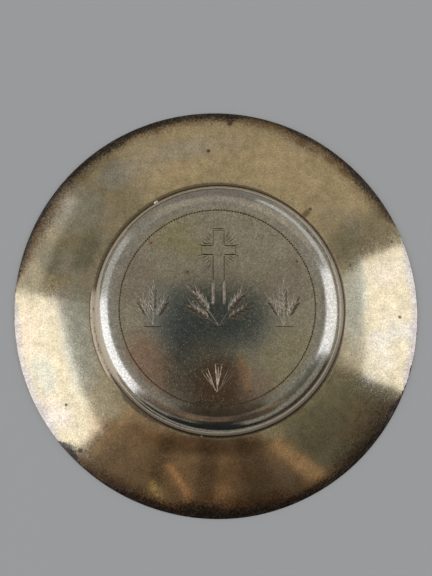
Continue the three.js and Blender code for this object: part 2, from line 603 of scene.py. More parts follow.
def cut_line(start, end, width, tool=burin_line, slope=BRIGHT_CUT):
    """A burin's cut from one point of the disc to another, in millimetres. It joins the first set that
    it touches nothing in."""
    start, end = Vector(start), Vector(end)
    along = end - start
    angle = math.atan2(along.y, along.x)
    tool_copy = mark(tool, *((start + end) / 2), along.length, width, width / 2 * math.tan(slope), angle)
    line = (start, end, width)
    for cut_set in cuts:
        if not any(touch(line, other) for other in cut_set["lines"]):
            break
    else:
        cut_set = {"lines": [], "tools": []}
        cuts.append(cut_set)
    cut_set["lines"].append(line)
    cut_set["tools"].append(tool_copy)


def fine_line(start, end, width, tool=burin_line):
    """A thin deep cut, which looks dark."""
    cut_line(start, end, width, tool, STEEP_CUT)


# %% [markdown]
# ## Cross and rays
# The cross is drawn in outline: a short top arm, a bar, and a shaft whose lower half is bright-cut with
# broad strokes. Short rays fan out of the four corners.

# %% Cross and rays
CROSS_X = 0.35
CROSS_Y = 20.0
ARM_HALF = 1.95  # half the width of the arm and of the shaft
ARM_TOP = 27.7
BAR_HALF = 6.05
BAR_TOP = 21.6
BAR_FOOT = 18.4
SHAFT_SPLIT = 9.2  # where the thin lines of the shaft turn into broad strokes
SHAFT_FOOT = 0.4
THIN = 0.24
BROAD = 0.85

for side in (-1, 1):
    inner = CROSS_X + side * ARM_HALF
    outer = CROSS_X + side * BAR_HALF
    fine_line((inner, ARM_TOP + 0.2), (inner, BAR_TOP), THIN)
    fine_line((inner, BAR_TOP), (outer, BAR_TOP), THIN * 1.3)
    fine_line((inner, BAR_FOOT), (outer, BAR_FOOT), THIN * 1.5)
    fine_line((outer, BAR_TOP), (outer, BAR_FOOT), THIN * 0.7)
    fine_line((inner, BAR_FOOT), (inner, SHAFT_SPLIT - 0.6), THIN * 1.3)
    cut_line((inner, SHAFT_SPLIT), (inner, SHAFT_FOOT), BROAD)
for from_middle, end_from_middle, y, width in (
    (-ARM_HALF, ARM_HALF, ARM_TOP, 0.3),
    (-ARM_HALF, ARM_HALF, ARM_TOP - 0.6, 0.2),
    (-5.3, -2.5, BAR_TOP + 0.65, THIN),
):
    fine_line((CROSS_X + from_middle, y), (CROSS_X + end_from_middle, y), width)

RAYS_PER_CORNER = 5
RAY_SPREAD = math.radians(11)
RAY_START = 4.0  # from the middle of the cross, and a little more for the outer rays
RAY_LENGTHS = (3.3, 2.2)  # by turns
for corner_turn in (38, 142, 218, 322):
    for i in range(RAYS_PER_CORNER):
        step = i - (RAYS_PER_CORNER - 1) / 2
        angle = math.radians(corner_turn) + step * RAY_SPREAD
        near = RAY_START + 0.25 * abs(step)
        far = near + RAY_LENGTHS[i % 2]
        start = (CROSS_X + near * math.cos(angle), CROSS_Y + near * math.sin(angle))
        end = (CROSS_X + far * math.cos(angle), CROSS_Y + far * math.sin(angle))
        fine_line(start, end, THIN, burin_leaf)
print("cross and rays:", sum(len(cut_set["tools"]) for cut_set in cuts), "cuts")

# %% [markdown]
# ## Nails
# Three nails stand in a fan on their points. Each has two long cuts that meet at the point and a short one
# for its head.

# %% Nails
NAIL_POINT = (-0.2, -29.9)
NAIL_HALF_HEAD = 1.2


def nail(lean, length, strength):
    """One nail that leans to the right by some angle from upright."""
    up = Vector((math.sin(lean), math.cos(lean)))
    across = Vector((up.y, -up.x))
    tip = Vector(NAIL_POINT)
    head = tip + up * length
    for side in (-1, 1):
        cut_line(tip + up * 1.6, head + across * side * NAIL_HALF_HEAD, 0.36 * strength, burin_leaf)
    cut_line(head - across * NAIL_HALF_HEAD * 1.2, head + across * NAIL_HALF_HEAD * 1.2, 0.3 * strength)
    cut_line(tip, tip + up * length * 0.9, 0.42 * strength, burin_leaf)


nail(math.radians(-29), 9.0, 1.0)
nail(math.radians(3), 10.0, 1.15)
nail(math.radians(33), 9.0, 0.8)

# %% [markdown]
# ## Ears of wheat
# Wheat is the common ornament of a plate for bread. Four ears fan out of one tie under the cross, and a
# sprig of three stands on either side. A grain is one leaf-shaped cut, an awn one thin cut, and a stem a
# few cuts along an arc.

# %% Ears of wheat
TIES = (-22.6, CROSS_X, 23.3)
TIE_Y = -7.0
TIE_HALF = 3.4
GRAIN_LENGTH = 3.1
GRAIN_WIDTH = 0.95
GRAIN_SPREAD = math.radians(24)
GRAIN_PITCH = 1.75
AWN_LENGTH = 1.8
AWN_WIDTH = 0.16
STEM_WIDTH = 0.26
STEM_CUTS = 4
STEM_START = 0.3  # from the tie
GRAIN_START = 0.25  # from the stem


def stem_place(tie_x, side, lean, bend, distance):
    """Place and direction on a stem that leaves its tie at one lean and bends steadily outwards."""
    turned = lean + bend * distance
    x = (math.cos(lean) - math.cos(turned)) / bend
    y = (math.sin(turned) - math.sin(lean)) / bend
    direction = Vector((side * math.sin(turned), math.cos(turned)))
    return Vector((tie_x + side * x, TIE_Y + y)), direction


def ear(tie_x, side, lean, bend, stem_length, pairs):
    """A stem with its ear. Grains sit in pairs, and one more closes the tip. Angles are in degrees."""
    lean, bend = math.radians(lean), math.radians(bend)
    step = stem_length / STEM_CUTS
    for i in range(STEM_CUTS):
        here = stem_place(tie_x, side, lean, bend, i * step + STEM_START)[0]
        there = stem_place(tie_x, side, lean, bend, (i + 1) * step + STEM_START)[0]
        cut_line(here, there, STEM_WIDTH)
    for i in range(pairs + 1):
        place, direction = stem_place(tie_x, side, lean, bend, stem_length + i * GRAIN_PITCH)
        spreads = (-GRAIN_SPREAD, GRAIN_SPREAD) if i < pairs else (0.0,)
        for spread in spreads:
            grain = direction.copy()
            grain.rotate(Matrix.Rotation(spread, 2))
            foot = place + grain * GRAIN_START
            tip = foot + grain * GRAIN_LENGTH
            cut_line(foot, tip, GRAIN_WIDTH, burin_leaf)
            cut_line(tip, foot + grain * (GRAIN_LENGTH + AWN_LENGTH), AWN_WIDTH)


for side in (-1, 1):
    ear(CROSS_X, side, 30, 1.0, 6.3, 4)
    ear(CROSS_X, side, 50, 1.0, 4.5, 4)
    ear(TIES[0], side, 23, 1.0, 3.6, 3)
    ear(TIES[2], side, 23, 1.0, 3.6, 3)
for tie_x in (TIES[0], TIES[2]):
    ear(tie_x, 1, -0.1, 0.01, 4.6, 4)
for tie_x in TIES:
    fine_line((tie_x - TIE_HALF, TIE_Y - 0.1), (tie_x + TIE_HALF, TIE_Y - 0.1), STEM_WIDTH)
print("engraved in all:", [len(cut_set["tools"]) for cut_set in cuts], "cuts in their sets")

# %% [markdown]
# ## Punched ring
# The guide circle is one thin groove, and the punch marks sit on it a little less than a millimetre apart.
# A hand spaces them unevenly, so each one is shifted and turned a little.

# %% Punched ring
RING_RADIUS = 34.5
PUNCH_MARKS = 222
PUNCH_LENGTH = 0.74
PUNCH_WIDTH = 0.62
PUNCH_DEPTH = 0.16
PUNCH_TURN = math.radians(35)  # from the direction of the ring
SCRIBED_HALF_WIDTH = 0.1

hand = random.Random(7)
punched = []
for i in range(PUNCH_MARKS):
    angle = (i + hand.uniform(-0.08, 0.08)) * 2 * math.pi / PUNCH_MARKS
    r = RING_RADIUS + hand.uniform(-0.04, 0.04)
    turn = angle + math.pi / 2 + PUNCH_TURN
    x, y = r * math.cos(angle), r * math.sin(angle)
    depth = PUNCH_DEPTH * hand.uniform(0.85, 1.15)
    punched.append(mark(punch, x, y, PUNCH_LENGTH, PUNCH_WIDTH, depth, turn))
scribed = new_piece(
    "scribed_circle",
    bpy.ops.mesh.primitive_torus_add,
    location=(0, 0, disc_height + TOOL_LIFT),
    major_segments=250,
    minor_segments=4,
    major_radius=RING_RADIUS * MM,
    minor_radius=SCRIBED_HALF_WIDTH * MM,
)
print("ring:", len(punched), "punch marks on a circle of", RING_RADIUS, "mm")

# %% Taking the marks out of the disc


def combine(piece, tool, operation):
    """Takes a tool's shape out of a piece, or adds it, and removes the tool."""
    pick(tool)
    bpy.ops.object.transform_apply(location=True, rotation=True, scale=True)
    apply_modifier(piece, "BOOLEAN", object=tool, operation=operation, solver="MANIFOLD")
    bpy.data.objects.remove(tool)


def loose_edges(piece):
    """How many edges don't join exactly two faces."""
    pick(piece)
    start_editing("DESELECT", "EDGE")
    bpy.ops.mesh.select_non_manifold()
    stop_editing()
    return sum(edge.select for edge in piece.data.edges)


for tools in ([scribed], punched, *(cut_set["tools"] for cut_set in cuts)):
    pick(tools[0])
    for tool in tools:
        tool.select_set(True)
    if len(tools) > 1:
        bpy.ops.object.join()
    combine(well_dish, tools[0], "DIFFERENCE")
print("marks taken out:", len(well_dish.data.polygons), "faces,", loose_edges(well_dish), "loose edges")
for tool in (burin_line, burin_leaf, punch):
    bpy.data.objects.remove(tool)

# %% [markdown]
# ## Solder seam
# Silver solder fills the joint round the lip and stands in the corner as a small hollow fillet.

# %% Solder seam
FILLET_STEPS = 6
SEAM_TURN_STEPS = 720
FILLET_HOLLOW = 0.55

wall_end = point(wall_top_radius, wall_top_height)
plate_end = point(fillet_radius, rim_height(fillet_radius, 1))
corner = point(boss_radius, seam_height)
middle = wall_end.lerp(plate_end, 0.5).lerp(corner, FILLET_HOLLOW)
section = [point(boss_radius, lip_height), corner]
for i in range(FILLET_STEPS + 1):
    t = i / FILLET_STEPS
    section.append(wall_end * (1 - t) ** 2 + middle * 2 * t * (1 - t) + plate_end * t**2)
section += [point(hole_radius, rim_height(hole_radius, side)) for side in (1, -1)]
section.append(section[0])
solder_seam = draw_section("solder_seam_ring", section)
spin_section(solder_seam, SEAM_TURN_STEPS)

# %% Lumps in the solder
LUMP_SIZE = 1.1 * MM
LUMP_HEIGHT = 0.14 * MM
LUMP_DETAIL = 2
SLACK = 0.01 * MM  # for points that lie on the limit

in_sight = solder_seam.vertex_groups.new(name="in_sight")
for corner_point in solder_seam.data.vertices:
    place = corner_point.co
    if place.z > seam_height - 2 * SLACK and place.xy.length > wall_top_radius - SLACK:
        in_sight.add([corner_point.index], 1.0, "REPLACE")
lumps = {"mid_level": 0.45, "strength": LUMP_HEIGHT}
push_by_cloud(solder_seam, "solder_lumps", LUMP_SIZE, LUMP_DETAIL, in_sight, **lumps)

# %% Drops of solder
DROP_FLATNESS = 0.7
DROP_LIFT = 0.08 * MM
DROPS = ((121, 0.1, 1.8, 1.4), (188, 0.3, 1.0, 0.7), (-98, 0.35, 0.8, 0.6))

for azimuth, away, length, width in DROPS:
    r = boss_radius + away * MM
    drop = new_piece(
        "drop",
        bpy.ops.mesh.primitive_uv_sphere_add,
        segments=20,
        ring_count=12,
        radius=MM / 2,
        location=(*polar(azimuth, r), rim_height(r, 1) + DROP_LIFT),
    )
    drop.scale = (width, length, width * DROP_FLATNESS)
    drop.rotation_euler.z = math.radians(azimuth)
    combine(solder_seam, drop, "UNION")
print("solder seam:", len(solder_seam.data.polygons), "faces,", loose_edges(solder_seam), "loose edges")

# %% [markdown]
# ## A hand-raised boss
# The well was raised by hand as well. Its foot lies almost a millimetre off the middle, while the ring on
# the disc is true, so the wall is steeper on the left. One smooth shift moves all three pieces alike, and
# they still fit.

# %% A hand-raised boss
FOOT_SHIFT = Vector((0.8, -0.25, 0)) * MM
FOOT_SHRINK = 0.25 * MM
SHIFT_INSIDE = (41, 45.2)  # where the shift starts and where it is whole, in millimetres from the axis
SHIFT_OUTSIDE = (64, 47)


def smooth_share(value, start, end):
    share = min(1.0, max(0.0, (value - start) / (end - start)))
    return share * share * (3 - 2 * share)


for piece in (rim_plate, well_dish, solder_seam):
    for corner_point in piece.data.vertices:
        place = corner_point.co
        r = place.xy.length / MM
        share = smooth_share(r, *SHIFT_INSIDE) * smooth_share(r, *SHIFT_OUTSIDE)
        inward = Vector((place.x, place.y, 0)) * (-FOOT_SHRINK / max(r * MM, MM))
        corner_point.co = place + (FOOT_SHIFT + inward) * share
print("foot shifted by", round(FOOT_SHIFT.length / MM, 2), "mm")

# %% Shading
SHARP_FROM = math.radians(14)
for piece in (rim_plate, well_dish, solder_seam):
    pick(piece)
    bpy.ops.object.shade_smooth_by_angle(angle=SHARP_FROM)
print("three pieces shaded smooth up to", round(math.degrees(SHARP_FROM)), "degrees")

# %% [markdown]
# ## Finishes
# Old gilding is never one colour. It is thin in places, so that grey silver shows, and it is stained where
# it was wiped less: brown, then blue-black, towards the edge. Part of the blue-black, and some other
# coats, are painted reflection and painted shade laid into the colour. A picture texture could hold that,
# but it would fit only one paten. We paint in layers instead. A finish starts with one colour and takes
# coats, and each coat lies where a mask says: a ragged oval, a band along the edge, or a cloud of specks.

# %% A finish that takes coats
LONGEST = 12.0  # the longest length in millimetres that a curve around the axis can hold
SCRATCH_WIDTH = 0.24


class Finish:
    """A metal. Its coordinates are millimetres from the axis, and its masks go from 0 to 1."""

    def __init__(self, name, colour, roughness):
        self.material = bpy.data.materials.new(name)
        self.material.use_nodes = True
        self.tree = self.material.node_tree
        self.colour = (*colour, 1)
        self.roughness = roughness
        self.relief = 0.0
        self.metal = 1.0
        where = self.tree.nodes.new("ShaderNodeTexCoord")
        to_millimetres = {0: where.outputs["Object"], "Scale": 1 / MM}
        self.place = self.node("VectorMath", to_millimetres, operation="SCALE")
        self.height = self.node("SeparateXYZ", {0: self.place}, "Z")
        self.up = self.node("SeparateXYZ", {0: where.outputs["Normal"]}, "Z")
        self.flat = self.vector("MULTIPLY", self.place, (1, 1, 0))
        self.radius = self.length(self.flat)
        self.ragged = self.wobble(self.wobble(self.flat, 14, 7), 2.2, 1.6)
        self.hardly_ragged = self.wobble(self.flat, 1.0, 0.5)

    def node(self, kind, inputs, output=0, **settings):
        return add_node(self.tree, kind, inputs, output, **settings)

    def maths(self, operation, a, b=0.0):
        return self.node("Math", {0: a, 1: b}, operation=operation)

    def times(self, a, b):
        return self.maths("MULTIPLY", a, b)

    def plus(self, a, b):
        return self.maths("ADD", a, b)

    def minus(self, a, b):
        return self.maths("SUBTRACT", a, b)

    def vector(self, operation, a, b):
        return self.node("VectorMath", {0: a, 1: b}, operation=operation)

    def length(self, vector):
        return self.node("VectorMath", {0: vector}, "Value", operation="LENGTH")

    def step(self, value, start, end):
        """0 on the side of start and 1 on the side of end, with a smooth change between them."""
        inputs = {"Value": value, "From Min": start, "From Max": end}
        return self.node("MapRange", inputs, interpolation_type="SMOOTHSTEP")

    def noise(self, size, place=None, detail=2.0, output=0):
        """Clouds about size millimetres wide."""
        inputs = {"Vector": place or self.place, "Scale": 1 / size, "Detail": detail}
        return self.node("TexNoise", inputs, output)

    def wobble(self, place, size, reach):
        """The same coordinates, pushed to and fro by clouds of some size, up to half of reach."""
        centred = self.vector("SUBTRACT", self.noise(size, output=1), (0.5, 0.5, 0.5))
        return self.vector("ADD", place, self.vector("MULTIPLY", centred, (reach, reach, 0)))

    def patch(self, x, y, half_x, half_y, turn=0, soft=0.5):
        """A ragged oval. A small one keeps its place and shape."""
        inputs = {
            "Vector": self.ragged if max(half_x, half_y) > 2.5 else self.hardly_ragged,
            "Location": (x, y, 0),
            "Rotation": (0, 0, math.radians(turn)),
            "Scale": (half_x, half_y, 1),
        }
        away = self.length(self.node("Mapping", inputs, vector_type="TEXTURE"))
        return self.step(away, 1 + soft, 1 - soft)

    def streaks(self, width, length, turn):
        """Clouds drawn out to lines, as a brush or a cloth leaves them."""
        inputs = {
            "Vector": self.place,
            "Rotation": (0, 0, math.radians(turn)),
            "Scale": (1, length / width, 1),
        }
        return self.noise(width, self.node("Mapping", inputs, vector_type="TEXTURE"), 1.0)

    def specks(self, spacing, size, where=1.0):
        """Dots about size millimetres wide."""
        away = self.node("TexVoronoi", {"Vector": self.flat, "Scale": 1 / spacing})
        return self.times(self.step(away, 0.6 * size / spacing, 0.3 * size / spacing), where)

    def foot_distance(self, share=1.0):
        """From the middle of the boss's foot, or from a place some share of the way to it."""
        return self.length(self.vector("SUBTRACT", self.flat, tuple(FOOT_SHIFT * share / MM)))

    def around(self, rows):
        """A length that changes with the direction from the axis: rows of degrees and millimetres."""
        turn = self.node("TexGradient", {"Vector": self.flat}, gradient_type="RADIAL")
        curve = self.tree.nodes.new("ShaderNodeFloatCurve")
        line = curve.mapping.curves[0]
        line.points[0].location = (0, rows[0][1] / LONGEST)
        line.points[1].location = (1, rows[-1][1] / LONGEST)
        for azimuth, length in rows[1:-1]:
            line.points.new((azimuth + 180) / 360, length / LONGEST)
        for corner_point in line.points:
            corner_point.handle_type = "AUTO_CLAMPED"
        curve.mapping.update()
        self.tree.links.new(turn, curve.inputs["Value"])
        return self.times(curve.outputs[0], LONGEST)

    def coat(self, colour, mask, strength=1.0, rough=0.0):
        """Lays a colour over what is there, and makes the surface rougher by rough."""
        amount = self.times(mask, strength)
        self.colour = self.node("MixRGB", {"Fac": amount, "Color1": self.colour, "Color2": (*colour, 1)})
        if rough:
            self.scuff(amount, rough)

    def patches(self, rows):
        """A coat on each of many ragged ovals: rows of colour, strength and what patch needs."""
        for colour, strength, *oval in rows:
            self.coat(colour, self.patch(*oval), strength)

    def scratches(self, rows, strength, rough):
        """Thin pale scratches that lie roughly one way: rows of degrees and millimetres. Their pale colour
        is partly painted highlight, for the light that the scratches catch.
        """
        for turn, length in rows:
            lines = self.step(self.streaks(SCRATCH_WIDTH, length, turn), 0.58, 0.72)
            self.coat(SCRATCH_AND_GLINT, lines, strength, rough)

    def paint_matt(self, colour, mask, strength):
        """Lays a matt coat that is no metal itself: the painted cream reflection and the painted shade at
        the boss's foot.
        """
        self.coat(colour, mask, strength, 0.4)
        self.metal = self.minus(self.metal, self.times(mask, strength))

    def cover(self, colour, mask):
        """Lays clean metal over all the coats below."""
        self.coat(colour, mask, 0.97)
        self.metal = self.maths("MAXIMUM", self.metal, mask)

    def scuff(self, mask, rough):
        """Roughens the surface where a mask says."""
        self.roughness = self.plus(self.roughness, self.times(mask, rough))

    def mottle(self, cloud, strength):
        """Makes the colour lighter and darker with a cloud."""
        level = self.plus(self.times(self.minus(cloud, 0.5), 2 * strength), 1.0)
        self.colour = self.node("VectorMath", {0: self.colour, "Scale": level}, operation="SCALE")

    def raise_by(self, cloud, height):
        """Lifts the surface by a cloud of some height in millimetres, for the shading only."""
        self.relief = self.plus(self.relief, self.times(cloud, height))

    def dress(self, piece):
        """Gives the finish to a piece. A Boolean leaves empty material slots behind, so they go first."""
        relief = self.node("Bump", {"Height": self.relief, "Distance": MM, "Strength": 1.0})
        surface = self.tree.nodes["Principled BSDF"]
        feed(self.tree, surface.inputs["Base Color"], self.colour)
        feed(self.tree, surface.inputs["Roughness"], self.roughness)
        feed(self.tree, surface.inputs["Metallic"], self.metal)
        feed(self.tree, surface.inputs["Normal"], relief)
        piece.data.materials.clear()
        piece.data.materials.append(self.material)
        print(piece.name, "has", self.material.name, "of", len(self.tree.nodes), "nodes")


# %% [markdown]
# ## Gilded rim
# Three bands follow the edge, and each has its own width in each direction: blue-black tarnish, which is
# partly painted dark reflection of the edge's steep fall, a brown border inside it, and bare silver at the
# left and right where hands hold the plate. Clouds of thin gilding, smudges and specks lie inside them;
# olive and rust patches among them are partly painted reflection. The face of the plate keeps the plain
# polished gilding.

# %% Colours of the rim
GILT = (0.58, 0.478, 0.285)
WARM_GILT = (0.68, 0.54, 0.32)
THIN_GILT = (0.545, 0.51, 0.43)
GREEN_GREY = (0.54, 0.515, 0.375)
BARE_SILVER = (0.40, 0.36, 0.35)
OLIVE_AND_DARK_REFLECTION = (0.29, 0.27, 0.17)
RUST_AND_WARM_REFLECTION = (0.51, 0.29, 0.14)
DARK_RUST = (0.24, 0.13, 0.06)
PEACH_GILT = (0.68, 0.50, 0.33)
PINK_GILT = (0.62, 0.50, 0.40)
BROWN_TARNISH = (0.17, 0.105, 0.055)
DARK_TARNISH_AND_REFLECTION = (0.036, 0.032, 0.029)
SEAM_BROWN_AND_SHADE = (0.12, 0.095, 0.05)
SCRATCH_AND_GLINT = (0.80, 0.70, 0.54)
CREAM_REFLECTION = (0.60, 0.50, 0.37)

# %% Gilded rim
rim = Finish("silver_gilt", GILT, 0.075)
rim.coat(THIN_GILT, rim.step(rim.noise(22), 0.5, 0.75), 0.6)
rim.coat(WARM_GILT, rim.step(rim.noise(9), 0.5, 0.8), 0.5)
rim.patches((
    (WARM_GILT, 0.7, 24, 53, 16, 8, -25),
    (WARM_GILT, 0.5, -14, 52, 12, 5, 15),
    (WARM_GILT, 0.6, 51, 40, 8, 5, -50),
    (THIN_GILT, 0.7, -37.7, 49.7, 8, 5, 35),
    (THIN_GILT, 0.5, -12, 60, 11, 4, 8),
    (GREEN_GREY, 0.7, -50, 34, 9, 6, 40),
    (THIN_GILT, 0.5, -54.3, 16.6, 9, 4),
    (GREEN_GREY, 0.9, -50, -9, 5, 19, 6),
    (GREEN_GREY, 0.8, 50.5, 2, 4, 15, -3),
    # Olive patches: tarnish, and partly painted dark reflection beside the side panels' mirrored light.
    (OLIVE_AND_DARK_REFLECTION, 0.75, -47.8, 21, 4.5, 8, -25),
    (OLIVE_AND_DARK_REFLECTION, 0.5, -62, 17, 4, 5),
    (OLIVE_AND_DARK_REFLECTION, 0.3, -59, 22, 7, 4),
    (OLIVE_AND_DARK_REFLECTION, 0.4, 48, 21.5, 6, 6),
    (OLIVE_AND_DARK_REFLECTION, 0.3, 43, 30, 7, 7, 40),
    (OLIVE_AND_DARK_REFLECTION, 0.3, 55, 26, 7, 5),
    (OLIVE_AND_DARK_REFLECTION, 0.35, 33, -45, 9, 10, 40),
    # Rust patches on the near side: stain, and partly painted reflection of the brown surroundings in front.
    (RUST_AND_WARM_REFLECTION, 0.4, -24, -43, 8, 5, -30),
    (RUST_AND_WARM_REFLECTION, 0.35, -41, -44, 6, 5, -40),
    (RUST_AND_WARM_REFLECTION, 0.35, 52, -40, 9, 6, 50),
    (RUST_AND_WARM_REFLECTION, 0.25, 4.5, -58, 9, 5),
    (BROWN_TARNISH, 0.7, -3, -48.5, 19, 3.5),
    (DARK_RUST, 0.7, 48.3, 51.8, 1.3, 2.5, 47),
    (DARK_RUST, 0.6, 42.6, 56.5, 1.1, 2.0, 53),
    (DARK_RUST, 0.7, 32.1, 63.1, 1.3, 2.5, 63),
    (DARK_RUST, 0.6, 36.5, 60.2, 0.8, 1.6, 59),
    (BROWN_TARNISH, 0.5, -23, 67.2, 1.2, 0.9, 109),
    (PEACH_GILT, 0.5, -69, -9, 4, 8, 8),
    (GREEN_GREY, 0.6, -62, -24, 4, 7, 20),
    (PINK_GILT, 0.5, -58, -38, 5, 6, 33),
    (PINK_GILT, 0.35, 62, 12, 6, 5),
    (BROWN_TARNISH, 0.75, 32.8, 34.6, 2.2, 1.0, 47),
))

# %% Bands along the edge
SILVER_BAND = (
    (-180, 1.5), (-168, 2.2), (-155, 2.6), (-143, 2.4), (-136, 0.1), (-28, 0.1), (-20, 1.8), (-8, 2.4),
    (8, 2.6), (18, 1.6), (26, 0.1), (172, 0.1), (180, 1.5),
)
BROWN_BAND = (
    (-180, 0.1), (-141, 0.1), (-133, 4.2), (-123, 5.0), (-107, 4.5), (-90, 7.0), (-70, 5.5), (-60, 3.5),
    (-53, 6.0), (-45, 7.0), (-37, 7.0), (-28, 4.5), (-21, 0.1), (20, 0.1), (26, 2.2), (33, 4.5), (42, 5.0),
    (58, 5.0), (67, 4.6), (78, 4.2), (93, 4.0), (108, 4.4), (125, 4.2), (140, 4.8), (152, 5.4), (163, 4.2),
    (172, 1.6), (178, 0.1), (180, 0.1),
)
# The black band is tarnish and partly painted dark reflection: the edge falls steeply and mirrors dark low
# surroundings.
BLACK_BAND_AND_REFLECTION = (
    (-180, 0.1), (-141, 0.1), (-136, 3.8), (-131, 1.2), (-121, 1.6), (-112, 2.8), (-102, 3.2), (-95, 6.0),
    (-88, 3.8), (-75, 2.8), (-60, 2.4), (-45, 2.4), (-35, 2.4), (-26, 1.0), (-20, 0.1), (18, 0.3), (26, 1.3),
    (36, 2.2), (41, 3.8), (46, 2.4), (58, 2.2), (66, 2.0), (72, 0.9), (82, 0.9), (86, 3.2), (92, 2.6),
    (108, 2.5), (125, 2.9), (133, 2.2), (152, 1.6), (165, 1.2), (173, 0.5), (180, 0.1),
)

edge_place = rim.wobble(rim.wobble(rim.flat, 9, 1.6), 1.3, 1.3)
from_edge = rim.minus(plate_radius / MM, rim.length(edge_place))
grain = rim.minus(rim.noise(0.7, detail=3.0), 0.5)
for colour, rows, strength, inner, outer, graininess in (
    (BARE_SILVER, SILVER_BAND, 0.65, 1.7, 0.5, 3.5),
    (BROWN_TARNISH, BROWN_BAND, 1.0, 1.6, 0.2, 1.6),
    (DARK_TARNISH_AND_REFLECTION, BLACK_BAND_AND_REFLECTION, 0.95, 1.4, 0.45, 1.6),
):
    share = rim.plus(rim.maths("DIVIDE", from_edge, rim.around(rows)), rim.times(grain, graininess))
    rim.coat(colour, rim.step(share, inner, outer), strength, 0.1)

# %% Specks and fine wear of the rim
SPECK_COLOUR = (0.08, 0.055, 0.035)

for x, y, size in (
    (-3.3, 59.2, 0.7), (4.8, 70.7, 1.1), (34.8, 36.6, 0.6), (49.2, 15.5, 0.6), (65.7, 24.8, 0.7),
    (67.5, -3.6, 0.6), (-54.1, -35.0, 0.5), (-48.7, -51.2, 0.9),
):
    rim.coat(SPECK_COLOUR, rim.patch(x, y, size, size, soft=0.4), 0.85, 0.3)
pitted = rim.plus(rim.patch(-52, -40, 9, 7), rim.patch(61, -14, 6, 9))
pitted = rim.plus(pitted, rim.step(rim.noise(16), 0.6, 0.75))
rim.coat(SPECK_COLOUR, rim.specks(3.1, 0.55, pitted), 0.6, 0.2)
rim.mottle(rim.noise(3.5, detail=4.0), 0.36)
rim.mottle(rim.noise(0.5), 0.6)
rim.scratches(((62, 14), (-28, 18), (15, 10), (-75, 12), (-50, 9)), 0.1, 0.35)
rim.scuff(rim.step(rim.noise(0.4, detail=3.0), 0.45, 0.75), 0.09)
rim.coat(SPECK_COLOUR, rim.specks(2.3, 0.4), 0.45)

# %% Stains, painted shade and painted reflection beside the joint
SEAM_STAIN_AND_SHADE = (
    (-180, 0.4), (-160, 0.3), (-141, 0.2), (-134, 1.3), (-122, 1.1), (-110, 0.4), (-70, 0.4), (-58, 0.6),
    (-25, 0.6), (-10, 0.2), (20, 0.4), (50, 0.4), (75, 0.8), (100, 1.0), (125, 1.0), (150, 1.0), (172, 0.8),
    (180, 0.4),
)
CREAM_ON_RIM = 1.0  # how far the painted cream reflection reaches out over the joint on the left
CREAM_LEFT = ((-180, 1.0), (-152, 1.0), (-143, 0.1), (170, 0.1), (176, 1.0), (180, 1.0))

# A brown stain beside the joint, partly tarnish and partly painted shade in the crease.
from_seam = rim.minus(rim.foot_distance(), (fillet_radius - FOOT_SHRINK) / MM)
share = rim.plus(rim.maths("DIVIDE", from_seam, rim.around(SEAM_STAIN_AND_SHADE)), grain)
rim.coat(SEAM_BROWN_AND_SHADE, rim.step(share, 1.3, 0.6), 0.85, 0.15)
# Painted cream reflection over the joint on the left, as on the wall beside it.
cream_band = rim.plus(from_seam, rim.times(grain, 0.8))
cream_band = rim.step(cream_band, CREAM_ON_RIM + 0.1, CREAM_ON_RIM - 0.2)
left_share = rim.around(CREAM_LEFT)
rim.paint_matt(CREAM_REFLECTION, rim.times(cream_band, left_share), 0.7)
# A dark brown line at the cream band's edge on the left: partly painted shade in the crease.
from_line = rim.maths("ABSOLUTE", rim.minus(from_seam, CREAM_ON_RIM + 0.2))
rim.coat(SEAM_BROWN_AND_SHADE, rim.times(rim.step(from_line, 0.3, 0.1), left_share), 0.6)
for azimuth, r in ((-169, 44.9), (-160, 45.4), (-175, 45.9)):
    rim.coat(SPECK_COLOUR, rim.patch(*polar(azimuth, r), 0.4, 0.25, azimuth), 0.8)
rim.mottle(rim.noise(0.8, detail=4.0), 0.25)

# %% Face and relief of the rim
rim.cover(GILT, rim.step(rim.up, 0.15, -0.15))
rim.raise_by(rim.noise(24), 0.03)
rim.raise_by(rim.noise(0.7), 0.0012)
rim.dress(rim_plate)

# %% [markdown]
# ## Worn gilding of the well
# The boss is what a hand rubs when it polishes the plate. Its gilding is thin, paler on the shoulder and
# brushed up and down on the disc. Grime has settled in the cuts, so the punched ring reads as a dark
# dotted line, while the broad bright cuts still throw light. Bluish and reddish patches on the disc are
# partly painted reflection. Orange streaks and the cream band at the foot are painted reflection, and a
# dark band at the very foot is painted shade.

# %% Colours of the well
WORN_GILT = (0.60, 0.544, 0.40)
PALE_SHOULDER = (0.57, 0.543, 0.458)
OLIVE_GILT = (0.56, 0.50, 0.28)
PLUM_TARNISH = (0.476, 0.383, 0.306)
REDDISH_TARNISH_AND_REFLECTION = (0.544, 0.366, 0.247)
BLUE_TARNISH_AND_REFLECTION = (0.36, 0.395, 0.36)
GREY_SHOULDER = (0.46, 0.43, 0.39)
WARM_SHOULDER = (0.46, 0.42, 0.33)
PAINTED_ORANGE_REFLECTION = (0.76, 0.49, 0.27)
FOOT_SHADE = (0.10, 0.075, 0.045)
GRIME = (0.05, 0.038, 0.03)
FRESH_CUT = (0.66, 0.53, 0.35)

